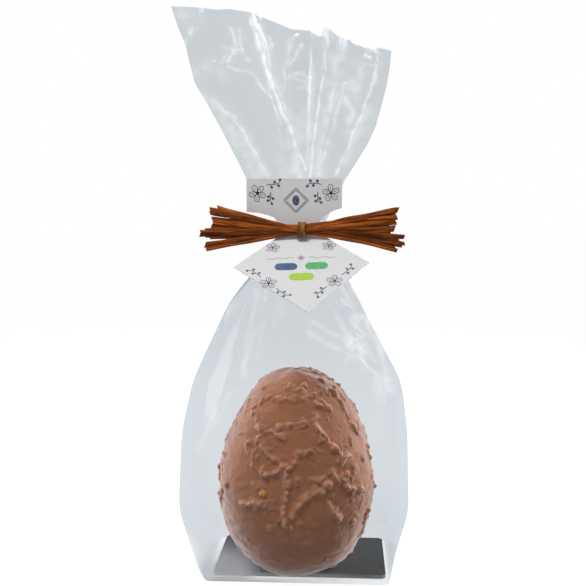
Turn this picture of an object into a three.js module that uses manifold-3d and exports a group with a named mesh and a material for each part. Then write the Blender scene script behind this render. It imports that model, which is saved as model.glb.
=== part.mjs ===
// A craggy chocolate egg in a clear gift bag: the egg stands on a stiff card in the foot of a film bag
// whose top is gathered, tied with a bundle of bark strips over a die-cut card label, and fanned out.
// The bag is a solid out to its film, with a pocket for the egg and the card that is open underneath.
// Millimetres, +Z up, the front towards -Y. The origin is the middle of the card's underside.
import * as THREE from "three";
import { mergeVertices } from "three/addons/utils/BufferGeometryUtils.js";
import Module from "manifold-3d";

// The stiff card that the egg stands on
const CARD = { width: 94, depth: 60, thick: 2, corner: 3 };

// The egg: a smooth moulded body, and crags of chopped nuts under the chocolate
const EGG = {
  height: 112.6,
  width: 82.8,
  x: -1.8,
  y: -21.5,
  foot: 1.2, // height of the rounded end that is flattened to stand on
  fatness: 0.13, // how much fuller the lower half is
  blunt: 0.9, // under 1 makes both ends rounder
  detail: 15,
};
const CRAGS = {
  seed: 7,
  count: 110,
  lowest: 0.12, // as a share of the egg's height
  highest: 0.97,
  length: 15,
  height: 2.1,
  width: 4.2,
  smallest: 0.45, // the least crag's height and width as a share of the largest's
  swell: 0.7, // how far the body itself swells in and out
  frontLess: -0.5, // the sine of a turn below which the front's own ridges take the place of these crags
};
// The larger ridges on the egg's front: how far right of its axis and how far above its foot end each runs
const RIDGE = { height: 2, width: 3.2 };
const FRONT_RIDGES = [
  [[-11, 98.5], [-3.5, 100], [6, 99]],
  [[6.5, 100.5], [13.5, 103], [19.5, 102]],
  [[-3, 105.5], [6.5, 101]],
  [[11.5, 98], [18.5, 95]],
  [[11, 92.5], [12, 86.5], [14, 82.5]],
  [[-6.5, 87], [-0.5, 88], [6.5, 88.5]],
  [[14, 81.5], [21, 75.5], [24.5, 70], [29, 71]],
  [[-19.5, 87.5], [-14, 84], [-17.5, 79.5], [-14.5, 76], [-10, 71.5], [-5, 68.5], [-1, 67]],
  [[-1, 67], [3, 74], [9, 75]],
  [[-2.5, 65.5], [-3, 57], [-3.5, 50], [-3.5, 38.5]],
  [[3, 60.5], [4.5, 61]],
  [[10, 61.5], [16, 61.5], [17.5, 57]],
  [[0.5, 43.5], [4, 51], [10.5, 55], [17, 56.5]],
  [[20, 64.5], [23, 59.5]],
  [[24.5, 62.5], [27, 55.5], [35.5, 52]],
  [[-25.5, 47], [-18.5, 49], [-13.5, 48.5]],
  [[-15.5, 63.5], [-8.5, 64.5], [-4.5, 67]],
  [[19, 49], [21.5, 43.5], [24, 40]],
  [[-10.5, 84.5], [-4, 82]],
  [[-21.5, 90.5], [-21, 91]],
  [[-23.5, 76], [-23, 77]],
];

// The film bag, and the room that its pocket leaves round the egg and the card
const FILM = { points: 56, step: 13, folds: 9, foldDepth: 0.09, gather: 106 };
const POCKET = { gap: 0.7, detail: 8, smoothBelow: 0.5, roughAbove: 0.9 };
const NECK = { z: 188, x: 0.5, y: -8, halfWidth: 10, halfDepth: 6 };
// How far the film reaches at each height where it is creased. Its outline there is a box where power is
// near 0, an ellipse where it is 1 and a lens with side creases where it is more.
const SECTIONS = [
  { z: 0, left: -51, right: 48.5, front: -38.5, back: 32, power: 0.08 },
  { z: 4, left: -53, right: 49.6, front: -44.5, back: 32, power: 0.12 },
  { z: 16, left: -59.3, right: 53, front: -62.5, back: 31, power: 0.7 },
  { z: 34, left: -67, right: 59.5, front: -71, back: 28, power: 1.14 },
  { z: 78, left: -65, right: 58.5, front: -70, back: 28, power: 1.14 },
  { z: 106, left: -59, right: 55.3, front: -59, back: 21, power: 1.1 },
  { z: 149, left: -39.5, right: 31.5, front: -38, back: 9, power: 1.05 },
  { z: 174, left: -18, right: 17, front: -22.5, back: 2, power: 1 },
];
// The fan above the neck: its sides, and how it opens
const FAN = {
  left: -72,
  right: 49,
  y: -5,
  thick: 2.4,
  flatFrom: 0.3, // the share of its height above which its two films lie together
  rings: 10,
};
// How far the fan's two edges have opened out at shares of the way up
const FAN_EDGES = {
  right: [
    [0, 0], [0.28, 0.33], [0.38, 0.5], [0.48, 0.66], [0.58, 0.78], [0.68, 0.85], [0.8, 0.93], [0.9, 0.975], [1, 1],
  ],
  left: [
    [0, 0], [0.22, 0.326], [0.34, 0.447], [0.46, 0.57], [0.57, 0.69], [0.61, 0.737], [0.66, 0.79], [0.74, 0.829],
    [0.82, 0.865], [0.91, 0.939], [1, 1],
  ],
};
// The height of the fan's top edge at shares of the way from the right corner to the left one
const FAN_TOP = [
  [0, 285.5], [0.13, 288.6], [0.21, 292.4], [0.29, 297.8], [0.36, 298], [0.45, 297.4],
  [0.54, 303], [0.63, 306], [0.73, 309.2], [0.89, 310.9], [1, 311],
];
// The fan's pleats: shares of the way from right to left at the neck and at the top, and how far back each lies
const FAN_FOLDS = [
  [-0.05, -0.05, 0], [0.094, 0.055, -3.5], [0.17, 0.12, 4], [0.27, 0.19, -3], [0.31, 0.24, 3],
  [0.355, 0.286, -5], [0.41, 0.37, 4], [0.47, 0.45, -3], [0.485, 0.54, 2], [0.5, 0.636, -6],
  [0.62, 0.8, 3], [0.7, 1.1, -4], [0.88, 1.3, 3], [1.05, 1.5, 0],
];

// The card label: an upright upper part and a square lower part that hangs on its corner
const LABEL = { thick: 0.5, y: -15.5, foldZ: 187, width: 52, neck: 18, notch: 10, top: 29, shift: -3.5 };
const FLAP = { side: 50, tilt: 50, turn: 3, tuck: 8, tipShift: 3 };

// The bundle of bark strips, and the wire that ties it over the label to the neck
const BOW = {
  seed: 3,
  strips: 13,
  x: 1,
  y: -21.8,
  z: 188.5,
  half: 55,
  uneven: 6, // how much shorter a strip's end may be
  rise: 12.5, // how far the ends spread up and down
  lean: 1, // how far the ends lean to the front
  sway: 1.5, // and stray from that
  width: 4.4,
  narrowest: 0.5,
  thick: 1,
  roll: 0.6,
  gathered: 1.7, // how far a strip's middle lies from the bundle's
  pinch: 0.4, // its width there
  steps: 3,
};
const BOW_CORE = { radius: 2.5, length: 12 };
const TIE = { inner: 3.3, outer: 4.2, width: 4.4, wire: 0.7 };
const LOOP = { halfWidth: 14, halfDepth: 9, y: -8.8, power: 0.4 };

const wasm = await Module();
wasm.setup();

const material = (color, roughness, options = {}) =>
  new THREE.MeshStandardMaterial({ color, roughness, metalness: 0, ...options });
const MATERIALS = {
  chocolate: material(0x8f6250, 0.5),
  card: material(0x3d3a38, 0.45),
  film: material(0xd6dde4, 0.1, { transparent: true, opacity: 0.3 }),
  label: material(0xdcdbd6, 0.7),
  bark: material(0x6b3418, 0.65),
  wire: material(0x7d5326, 0.5),
};

// A repeatable stream of numbers from 0 to 1
function randomStream(seed) {
  let state = seed >>> 0;
  return () => {
    state = (Math.imul(state, 1664525) + 1013904223) >>> 0;
    return state / 4294967296;
  };
}

const mix = THREE.MathUtils.lerp;
const smoothstep = THREE.MathUtils.smoothstep;
const signedPower = (value, power) => Math.sign(value) * Math.abs(value) ** power;

// The value at a place in a table of [place, value] pairs in order of place
function interpolate(table, at) {
  const upper = Math.max(1, table.findIndex(([place]) => place >= at));
  const [[a, low], [b, high]] = [table[upper - 1], table[upper]];
  return mix(low, high, (at - a) / (b - a));
}

// Only the positions of a geometry, with shared corners merged
function welded(geometry) {
  const bare = geometry.clone();
  bare.deleteAttribute("normal");
  bare.deleteAttribute("uv");
  return mergeVertices(bare, 1e-4);
}

function toSolid(geometry) {
  const merged = welded(geometry);
  const mesh = { numProp: 3, vertProperties: merged.attributes.position.array };
  return new wasm.Manifold(new wasm.Mesh({ ...mesh, triVerts: new Uint32Array(merged.index.array) }));
}

function toGeometry(solid) {
  const mesh = solid.getMesh();
  const geometry = new THREE.BufferGeometry();
  geometry.setAttribute("position", new THREE.BufferAttribute(mesh.vertProperties, 3));
  geometry.setIndex(new THREE.BufferAttribute(mesh.triVerts, 1));
  geometry.computeVertexNormals();
  return geometry;
}

// A closed skin over rings of equally many points, each counter-clockwise seen from above.
// Each end is closed by capStart or capEnd, which list the corners of its triangles.
function loft(rings, capStart, capEnd) {
  const count = rings[0].length;
  const corners = [];
  for (let r = 0; r + 1 < rings.length; r++) {
    for (let i = 0; i < count; i++) {
      const j = (i + 1) % count;
      const [low, high] = [rings[r], rings[r + 1]];
      corners.push(low[i], low[j], high[j], low[i], high[j], high[i]);
    }
  }
  corners.push(...capStart(rings[0]), ...capEnd(rings[rings.length - 1]));
  const geometry = new THREE.BufferGeometry().setFromPoints(corners);
  return welded(geometry);
}

// Triangles from a ring's middle, facing the way that the ring runs or against it
function wheelCap(ring, reversed) {
  const middle = ring.reduce((sum, p) => sum.add(p), new THREE.Vector3()).divideScalar(ring.length);
  return ring.flatMap((p, i) => {
    const next = ring[(i + 1) % ring.length];
    return reversed ? [middle, next, p] : [middle, p, next];
  });
}

// Triangles across a flat ring, from each point of its back to the point in front of it
function ribbonCap(ring) {
  const half = ring.length / 2;
  const corners = [];
  for (let j = 0; j < half; j++) {
    const front = ring[(ring.length - j) % ring.length];
    const nextFront = ring[ring.length - j - 1];
    if (j > 0) corners.push(front, ring[j], ring[j + 1]);
    if (j + 1 < half) corners.push(front, ring[j + 1], nextFront);
  }
  return corners;
}

// The egg's smooth body at a turn round its axis and an angle up from its foot end
function eggPoint(turn, rise) {
  const radius = (EGG.width / 2) * Math.sin(rise) ** EGG.blunt * (1 + EGG.fatness * Math.cos(rise));
  const z = (EGG.height / 2) * (1 - Math.cos(rise));
  return new THREE.Vector3(radius * Math.cos(turn), radius * Math.sin(turn), z);
}

// The point of the smooth egg's front that is x to the right of its axis and z above its foot end
function eggFront([x, z]) {
  const rise = Math.acos(1 - (2 * z) / EGG.height);
  return eggPoint(-Math.acos(x / eggPoint(0, rise).x), rise);
}

// Short ridges of nut and chocolate laid over the egg, as line segments with a height and a width each
function makeCrags() {
  const random = randomStream(CRAGS.seed);
  const crags = [];
  for (let i = 0; i < CRAGS.count; i++) {
    const turn = 2 * Math.PI * random();
    const rise = Math.acos(1 - 2 * mix(CRAGS.lowest, CRAGS.highest, random()));
    const way = Math.PI * random();
    const reach = (CRAGS.length / EGG.width) * mix(CRAGS.smallest, 1, random() ** 2);
    const start = eggPoint(turn, rise);
    const end = eggPoint(turn + Math.cos(way) * reach, rise + Math.sin(way) * reach);
    const size = mix(CRAGS.smallest, 1, random());
    if (Math.sin(turn) < CRAGS.frontLess) continue;
    crags.push({ line: new THREE.Line3(start, end), height: CRAGS.height * size, width: CRAGS.width * size });
  }
  for (const ridge of FRONT_RIDGES) {
    const points = ridge.map(eggFront);
    for (let i = 1; i < points.length; i++) {
      crags.push({ line: new THREE.Line3(points[i - 1], points[i]), ...RIDGE });
    }
  }
  return crags;
}

// The egg's closed skin, raised over its smooth body by a function of the place on it, with a flat foot
function eggSkin(detail, foot, raise) {
  const geometry = welded(new THREE.IcosahedronGeometry(1, detail));
  const place = geometry.attributes.position;
  const outward = new THREE.Vector3();
  for (let i = 0; i < place.count; i++) {
    const turn = Math.atan2(place.getY(i), place.getX(i));
    const rise = Math.acos(THREE.MathUtils.clamp(-place.getZ(i), -1, 1));
    const point = eggPoint(turn, rise);
    outward.set(point.x, point.y, (point.z - EGG.height / 2) * (EGG.width / EGG.height) ** 2).normalize();
    point.addScaledVector(outward, raise(point, turn, rise));
    place.setXYZ(i, point.x, point.y, Math.max(point.z, foot));
  }
  return geometry.translate(EGG.x, EGG.y, CARD.thick - EGG.foot);
}

function makeEgg() {
  const crags = makeCrags();
  const nearest = new THREE.Vector3();
  return eggSkin(EGG.detail, EGG.foot, (point, turn, rise) => {
    let ridge = 0;
    for (const { line, height, width } of crags) {
      line.closestPointToPoint(point, true, nearest);
      const share = 1 - nearest.distanceTo(point) / width;
      if (share > 0) ridge = Math.max(ridge, height * smoothstep(share, 0, 1));
    }
    return ridge + CRAGS.swell * Math.sin(3 * turn + 2 * rise) * Math.sin(5 * rise);
  });
}

// The room for the egg: smooth, and clear of the highest crag wherever there are crags
function makeEggPocket() {
  const lowest = CRAGS.swell + POCKET.gap;
  return eggSkin(POCKET.detail, EGG.foot - POCKET.gap, (point, turn, rise) =>
    lowest + CRAGS.height * smoothstep(rise, POCKET.smoothBelow, POCKET.roughAbove),
  );
}

// A slab with the card's outline grown by a margin
function cardSlab(margin, thick) {
  const { width, depth, corner } = CARD;
  const [x, y, r] = [width / 2 + margin, depth / 2 + margin, corner];
  const outline = new THREE.Shape();
  outline.absarc(x - r, y - r, r, 0, Math.PI / 2);
  outline.absarc(r - x, y - r, r, Math.PI / 2, Math.PI);
  outline.absarc(r - x, r - y, r, Math.PI, 1.5 * Math.PI);
  outline.absarc(x - r, r - y, r, 1.5 * Math.PI, 2 * Math.PI);
  return new THREE.ExtrudeGeometry(outline, { depth: thick, bevelEnabled: false, curveSegments: 4 });
}

// The film's outline at one height of the body, as the crease above and the crease below it lead
function sectionAt(z) {
  const all = [...SECTIONS, neckSection()];
  const upper = Math.max(1, all.findIndex((s) => s.z >= z));
  const [a, b] = [all[upper - 1], all[upper]];
  const t = (z - a.z) / (b.z - a.z);
  return Object.fromEntries(Object.keys(a).map((key) => [key, mix(a[key], b[key], t)]));
}

function neckSection() {
  const { z, x, y, halfWidth: w, halfDepth: d } = NECK;
  return { z, left: x - w, right: x + w, front: y - d, back: y + d, power: 1 };
}

// A ring of film round a section, with folds that deepen towards the neck
function bodyRing(section) {
  const { z, left, right, front, back, power } = section;
  const [x, y] = [(left + right) / 2, (front + back) / 2];
  const [halfX, halfY] = [(right - left) / 2, (back - front) / 2];
  const gathered = smoothstep(z, FILM.gather, NECK.z);
  return Array.from({ length: FILM.points }, (_, i) => {
    const turn = (2 * Math.PI * i) / FILM.points;
    const [c, s] = [Math.cos(turn), Math.sin(turn)];
    const fold = 1 + FILM.foldDepth * gathered * Math.cos(FILM.folds * turn);
    const out = new THREE.Vector3(signedPower(c, power) * halfX, signedPower(s, power) * halfY, 0);
    return new THREE.Vector3(x, y, z).addScaledVector(out, fold);
  });
}

// Heights of the rings from the foot to the neck, with one at each crease
function bodyHeights() {
  const creases = [...SECTIONS.map((section) => section.z), NECK.z];
  const heights = [creases[0]];
  for (let i = 1; i < creases.length; i++) {
    const steps = Math.ceil((creases[i] - creases[i - 1]) / FILM.step);
    for (let k = 1; k <= steps; k++) heights.push(mix(creases[i - 1], creases[i], k / steps));
  }
  return heights;
}

// A ring of the fan, a share of the way from the neck to the top edge: two films close together, pleated
function fanRing(share) {
  const neck = bodyRing(neckSection());
  const open = Math.sin((Math.PI / 2) * share);
  const flat = smoothstep(share, 0, FAN.flatFrom);
  const folds = FAN_FOLDS.map(([atNeck, atTop, depth]) => [mix(atNeck, atTop, share), depth]);
  return neck.map((from, i) => {
    const turn = (2 * Math.PI * i) / FILM.points;
    const across = (1 - Math.cos(turn)) / 2; // 0 at the right edge, 1 at the left
    const topX = mix(FAN.right, FAN.left, across);
    const topZ = interpolate(FAN_TOP, across);
    const pleat = open * interpolate(folds, across);
    const isEdge = i % (FILM.points / 2) === 0;
    const side = isEdge ? 0 : (signedPower(Math.sin(turn), 0.4) * FAN.thick) / 2;
    const flatY = mix(NECK.y, FAN.y, share) + pleat + side;
    const spread = mix(interpolate(FAN_EDGES.right, share), interpolate(FAN_EDGES.left, share), across);
    return new THREE.Vector3(mix(from.x, topX, spread), mix(from.y, flatY, flat), mix(from.z, topZ, share));
  });
}

// The film's outer skin from the foot to the top of the fan, less the pocket
function makeBag() {
  const rings = [
    ...bodyHeights().map((z) => bodyRing(sectionAt(z))),
    ...Array.from({ length: FAN.rings }, (_, k) => fanRing((k + 1) / FAN.rings)),
  ];
  const filled = toSolid(loft(rings, (ring) => wheelCap(ring, true), ribbonCap));
  const cardRoom = cardSlab(POCKET.gap, CARD.thick + 2 * POCKET.gap).translate(0, 0, -POCKET.gap);
  return toGeometry(filled.subtract(toSolid(makeEggPocket())).subtract(toSolid(cardRoom)));
}

// The label's upper part, upright over the gathered film, and its flap, which leans out over the shoulder
function makeLabel() {
  const { thick, y, foldZ, width, neck, notch, top, shift } = LABEL;
  const [left, right] = [shift - width / 2, shift + width / 2];
  const upper = new THREE.Shape();
  upper.moveTo(-neck / 2, 0);
  upper.lineTo(neck / 2, 0);
  upper.quadraticCurveTo(neck / 2, notch, right, notch + 3);
  upper.lineTo(right, top);
  upper.lineTo(left, top);
  upper.lineTo(left, notch + 1);
  upper.quadraticCurveTo(-neck / 2, notch, -neck / 2, 0);
  const plate = { depth: thick, bevelEnabled: false, curveSegments: 6 };
  const upright = new THREE.ExtrudeGeometry(upper, plate).rotateX(Math.PI / 2).translate(0, y, foldZ);

  const reach = FLAP.side / Math.SQRT2;
  const lower = new THREE.Shape();
  lower.moveTo(-FLAP.tuck, 0);
  lower.lineTo(-reach, FLAP.tuck - reach);
  lower.lineTo(FLAP.tipShift, FLAP.tuck - 2 * reach);
  lower.lineTo(reach, FLAP.tuck - reach);
  lower.lineTo(FLAP.tuck, 0);
  const tilt = THREE.MathUtils.degToRad(90 - FLAP.tilt);
  const flap = new THREE.ExtrudeGeometry(lower, plate)
    .rotateZ(THREE.MathUtils.degToRad(FLAP.turn))
    .rotateX(tilt)
    .translate(0, y, foldZ + thick / 2);
  return toGeometry(toSolid(upright).add(toSolid(flap)));
}

// One strip of bark from end to end: narrow in the tie, wider and turned a little at its ends
function makeStrip(random) {
  const ends = [-1, 1].map((side) => ({
    x: BOW.x + side * (BOW.half - BOW.uneven * random()),
    y: BOW.y - BOW.lean + BOW.sway * (2 * random() - 1),
    z: BOW.z + BOW.rise * (2 * random() - 1),
    roll: BOW.roll * (2 * random() - 1),
    width: BOW.width * mix(BOW.narrowest, 1, random()),
  }));
  const angle = 2 * Math.PI * random();
  const offset = BOW.gathered * Math.sqrt(random());
  const middle = { y: BOW.y + offset * Math.cos(angle), z: BOW.z + offset * Math.sin(angle) };
  const rings = [];
  for (let k = -BOW.steps; k <= BOW.steps; k++) {
    const end = ends[k < 0 ? 0 : 1];
    const share = Math.abs(k) / BOW.steps;
    const half = mix(BOW.width * BOW.pinch, end.width, share) / 2;
    const flat = BOW.thick / 2;
    const centre = new THREE.Vector3(BOW.x, middle.y, middle.z).lerp(end, share);
    rings.push(
      [[-flat, -half], [flat, -half], [flat, half], [-flat, half]].map(([y, z]) =>
        new THREE.Vector3(0, y, z).applyAxisAngle(new THREE.Vector3(1, 0, 0), end.roll * share).add(centre),
      ),
    );
  }
  return loft(rings, (ring) => wheelCap(ring, true), (ring) => wheelCap(ring, false));
}

function makeBow() {
  const random = randomStream(BOW.seed);
  const core = new THREE.CylinderGeometry(BOW_CORE.radius, BOW_CORE.radius, BOW_CORE.length, 12)
    .rotateZ(Math.PI / 2)
    .translate(BOW.x, BOW.y, BOW.z);
  let bundle = toSolid(core);
  for (let i = 0; i < BOW.strips; i++) bundle = bundle.add(toSolid(makeStrip(random)));
  // Only the outer skin is kept, so that a pocket closed off between strips is filled.
  const [skin] = bundle.decompose().sort((a, b) => b.volume() - a.volume());
  return toGeometry(skin);
}

// A ring round the bundle, joined to a loop of wire round the label and the gathered film
function makeTie() {
  const band = new THREE.LatheGeometry(
    [
      [TIE.inner, -TIE.width / 2],
      [TIE.outer, -TIE.width / 2],
      [TIE.outer, TIE.width / 2],
      [TIE.inner, TIE.width / 2],
      [TIE.inner, -TIE.width / 2],
    ].map(([r, h]) => new THREE.Vector2(r, h)),
    20,
  )
    .rotateZ(Math.PI / 2)
    .translate(BOW.x, BOW.y, BOW.z);
  // The loop is a rounded box seen from above, so that it lies flat across the label's neck.
  const loop = new THREE.TorusGeometry(1, TIE.wire / LOOP.halfDepth, 6, 36);
  const place = loop.attributes.position;
  for (let i = 0; i < place.count; i++) {
    const turn = Math.atan2(place.getY(i), place.getX(i));
    const out = (Math.hypot(place.getX(i), place.getY(i)) - 1) * LOOP.halfDepth;
    const x = signedPower(Math.cos(turn), LOOP.power) * (LOOP.halfWidth + out) + NECK.x;
    const y = signedPower(Math.sin(turn), LOOP.power) * (LOOP.halfDepth + out) + LOOP.y;
    place.setXYZ(i, x, y, place.getZ(i) * LOOP.halfDepth + BOW.z);
  }
  return toGeometry(toSolid(band).add(toSolid(loop)));
}

const part = new THREE.Group();
const pieces = {
  base_card: [cardSlab(0, CARD.thick), MATERIALS.card],
  egg: [makeEgg(), MATERIALS.chocolate],
  bag: [makeBag(), MATERIALS.film],
  label: [makeLabel(), MATERIALS.label],
  bow: [makeBow(), MATERIALS.bark],
  tie: [makeTie(), MATERIALS.wire],
};
for (const [name, [geometry, look]] of Object.entries(pieces)) {
  const mesh = new THREE.Mesh(geometry, look);
  mesh.name = name;
  part.add(mesh);
}

export default part;
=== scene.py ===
"""The looks of a craggy chocolate egg in a clear gift bag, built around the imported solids.

Sizes are in millimetres, in the part's own frame: +Z up, the front towards -Y.
"""

import math

import bmesh
import bpy
import numpy as np
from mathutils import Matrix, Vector, noise


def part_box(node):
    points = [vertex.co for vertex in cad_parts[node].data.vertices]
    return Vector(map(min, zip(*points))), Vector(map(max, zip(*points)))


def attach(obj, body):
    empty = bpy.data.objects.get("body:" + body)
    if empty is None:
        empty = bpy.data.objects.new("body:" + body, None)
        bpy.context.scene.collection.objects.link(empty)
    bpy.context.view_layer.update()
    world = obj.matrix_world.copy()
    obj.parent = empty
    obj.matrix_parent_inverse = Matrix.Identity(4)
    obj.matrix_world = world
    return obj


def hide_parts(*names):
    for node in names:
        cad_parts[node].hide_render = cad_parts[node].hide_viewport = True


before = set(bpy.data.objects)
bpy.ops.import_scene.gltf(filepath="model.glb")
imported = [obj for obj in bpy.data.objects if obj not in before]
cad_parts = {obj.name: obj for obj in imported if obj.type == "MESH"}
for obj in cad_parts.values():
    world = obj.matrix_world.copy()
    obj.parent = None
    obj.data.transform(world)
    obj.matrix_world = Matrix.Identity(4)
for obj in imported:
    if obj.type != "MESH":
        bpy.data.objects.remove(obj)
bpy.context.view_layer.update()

MM = 0.001
BODY = "root"

# The camera's place and turn, and its lens in pixels of the square picture
CAMERA_PLACE = (25.9, -511.0, 188.2)
CAMERA_TURN = 3.47
CAMERA_PITCH = -3.97
FOCAL_PIXELS = 908
FRAME_PIXELS = 586
SENSOR = 36.0

# The card in the foot of the bag
CARD_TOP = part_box("base_card")[1][2] / MM

# The egg, as in the solid
EGG_HEIGHT = 112.6
EGG_WIDTH = 82.8
EGG_PLACE = (-1.8, -21.5)
EGG_FOOT = 1.2
EGG_FATNESS = 0.13
EGG_BLUNT = 0.9
EGG_CUTS = 97

# The crags all round the egg, as in the solid
CRAGS = {
    "seed": 7,
    "count": 110,
    "lowest": 0.12,
    "highest": 0.97,
    "length": 15,
    "height": 2.1,
    "width": 4.2,
    "smallest": 0.45,
    "swell": 0.7,
    "front_less": -0.5,
}

# The larger ridges on the egg's front: how far right of its axis and how far above its foot end
# each one runs
FRONT_RIDGES = (
    ((-11, 98.5), (-3.5, 100), (6, 99)),
    ((6.5, 100.5), (13.5, 103), (19.5, 102)),
    ((-3, 105.5), (6.5, 101)),
    ((11.5, 98), (18.5, 95)),
    ((11, 92.5), (12, 86.5), (14, 82.5)),
    ((-6.5, 87), (-0.5, 88), (6.5, 88.5)),
    ((14, 81.5), (21, 75.5), (24.5, 70), (29, 71)),
    ((-19.5, 87.5), (-14, 84), (-17.5, 79.5), (-14.5, 76), (-10, 71.5), (-5, 68.5), (-1, 67)),
    ((-1, 67), (3, 74), (9, 75)),
    ((-2.5, 65.5), (-3, 57), (-3.5, 50), (-3.5, 38.5)),
    ((3, 60.5), (4.5, 61)),
    ((10, 61.5), (16, 61.5), (17.5, 57)),
    ((0.5, 43.5), (4, 51), (10.5, 55), (17, 56.5)),
    ((20, 64.5), (23, 59.5)),
    ((24.5, 62.5), (27, 55.5), (35.5, 52)),
    ((-25.5, 47), (-18.5, 49), (-13.5, 48.5)),
    ((-15.5, 63.5), (-8.5, 64.5), (-4.5, 67)),
    ((19, 49), (21.5, 43.5), (24, 40)),
    ((-10.5, 84.5), (-4, 82)),
    ((-21.5, 90.5), (-21, 91)),
    ((-23.5, 76), (-23, 77)),
)
RIDGE_HEIGHT = 2.0
RIDGE_WIDTH = 2.7
LOOSE_NUTS = 120
NUT_SPACING = 1.9
CRAG_NUT_SPACING = 6
CRAG_LOWERING = 0.8
CRAG_WIDENING = 0.9
THREAD_HEIGHT = 0.9

# Two kernels that show their colour: right of the axis, above the foot end, radius
BARE_NUTS = ((27, 62.5, 1.9), (-15, 54, 2.1))

# The film: how far it reaches at each crease, from the foot to the neck
SECTIONS = {
    "z": (0, 4, 16, 34, 78, 106, 149, 174, 188),
    "left": (-51, -53, -59.3, -67, -65, -59, -39.5, -18, -9.5),
    "right": (48.5, 49.6, 53, 59.5, 58.5, 55.3, 31.5, 17, 10.5),
    "front": (-38.5, -44.5, -62.5, -71, -70, -59, -38, -22.5, -14),
    "back": (32, 32, 31, 28, 28, 21, 9, 2, -2),
    "power": (0.08, 0.12, 0.7, 1.14, 1.14, 1.1, 1.05, 1, 1),
}
NECK_Z = SECTIONS["z"][-1]
NECK_Y = -8
FILM_COLUMNS = 512
BODY_ROWS = 190
FAN_ROWS = 190
GATHER_Z = 106
GATHER_FOLDS = 13
GATHER_DEPTH = 0.14
CREASE_SOFTNESS = 5
BODY_TINT = (0.785, 0.81, 0.83)
BODY_SHINE = 0.013
FAN_TINT = (0.79, 0.815, 0.83)
FAN_SHINE = 0.05
# Fine creases strewn over the film: how many, the most rows and columns crossed, height and width
BODY_FINE_CREASES = ((26, 40, 6, 0.8, 1.6), (14, 8, 12, 0.6, 1.4))
FAN_FINE_CREASES = ((70, 60, 4, 0.8, 1.0), (40, 8, 14, 0.6, 1.0))
FAN = {
    "left": -72,
    "right": 49,
    "y": -5,
    "apart": 1.6,
    "flat_from": 0.3,
}
# How far the fan's two edges have opened out at shares of the way up
FAN_RIGHT_EDGE = (
    (0, 0), (0.28, 0.33), (0.38, 0.5), (0.48, 0.66), (0.58, 0.78), (0.68, 0.85), (0.8, 0.93),
    (0.9, 0.975), (1, 1),
)
FAN_LEFT_EDGE = (
    (0, 0), (0.22, 0.326), (0.34, 0.447), (0.46, 0.57), (0.57, 0.69), (0.61, 0.737), (0.66, 0.79),
    (0.74, 0.829), (0.82, 0.865), (0.91, 0.939), (1, 1),
)

# The fan's top edge: its height at shares of the way from the right corner to the left one
FAN_TOP = (
    (0, 285.5), (0.13, 288.6), (0.21, 292.4), (0.29, 297.8), (0.36, 298), (0.45, 297.4),
    (0.54, 303), (0.63, 306), (0.73, 309.2), (0.89, 310.9), (1, 311),
)
# The fan's pleats: shares from right to left at the neck and at the top, and how far back each
# fold lies there
FAN_FOLDS = (
    (-0.05, -0.05, 0), (0.094, 0.055, -3.5), (0.17, 0.12, 4), (0.27, 0.19, -3), (0.31, 0.24, 3),
    (0.355, 0.286, -5), (0.41, 0.37, 4), (0.47, 0.45, -3), (0.485, 0.54, 2), (0.50, 0.636, -6),
    (0.62, 0.80, 3), (0.70, 1.10, -4), (0.88, 1.30, 3), (1.05, 1.50, 0),
)
# Creases in the front of the fan: how strong the glint painted along each is, how wide it is, and
# its points right of the origin and above the foot
FAN_CREASES = (
    (1.0, 1.3, ((-27, 303), (-25, 293), (-17.6, 272), (-9, 250), (-4, 238), (2, 222))),
    (0.6, 1.0, ((-24, 290), (-15, 270), (-8, 254))),
    (0.9, 0.8, ((14.4, 297), (12.3, 273), (8, 249), (5.2, 217))),
    (0.35, 1.6, ((17, 297), (15, 273), (11, 249), (7, 217))),
    (0.55, 0.9, ((-4.2, 294), (-9.2, 275), (-10.3, 262), (-8.6, 249))),
    (0.85, 1.2, ((42.4, 279), (35.4, 257), (27.8, 240), (19.6, 220))),
    (0.55, 1.6, ((24, 268), (19.5, 253), (14, 234), (9, 217))),
    (0.45, 0.9, ((4.6, 262), (4.5, 232), (5.2, 217))),
    (0.5, 2.6, ((-54.2, 262), (-38.6, 250), (-29.2, 237), (-19.2, 217))),
    (0.7, 1.1, ((-55, 310), (-60, 301), (-63.5, 291))),
    (0.7, 1.0, ((-40.2, 278), (-29.1, 274.6), (-22, 268), (-16, 259))),
    (0.6, 0.9, ((-8.6, 271.7), (-1, 273.8), (5, 272.7), (4, 266))),
    (0.7, 0.9, ((-0.3, 289), (-6.4, 278))),
    (0.6, 2.5, ((24, 259.5), (28, 253), (25, 243))),
    (0.8, 1.1, ((-37.5, 297), (-36, 290), (-41, 281))),
    (0.7, 0.9, ((-34, 290), (-29.5, 281))),
    (0.55, 6.0, ((-2, 248), (-3, 236), (-3, 217))),
    (0.45, 5.0, ((31, 275), (27, 262))),
    (0.45, 4.5, ((20, 290), (16, 260), (11, 235), (8, 217))),
    (0.4, 4.0, ((36, 252), (24, 225))),
    (0.4, 5.0, ((-50, 258), (-38, 244), (-27, 226), (-20, 217))),
    (0.35, 5.0, ((-66, 307), (-60, 304))),
    (0.35, 4.5, ((-24, 298), (-15, 268), (-4, 240))),
    (0.3, 3.5, ((-57, 275), (-48, 280), (-44, 272))),
)
# Patches of small crumples in the film's front: right, up, radius, how many
CRUMPLES = (
    (-35, 293, 7, 7), (-38, 284, 6, 6), (1.5, 269, 5, 6), (38, 282, 6, 8), (-62, 300, 5, 4),
    (28, 128, 11, 8), (34, 133, 7, 5), (25, 150, 6, 3),
)
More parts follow.
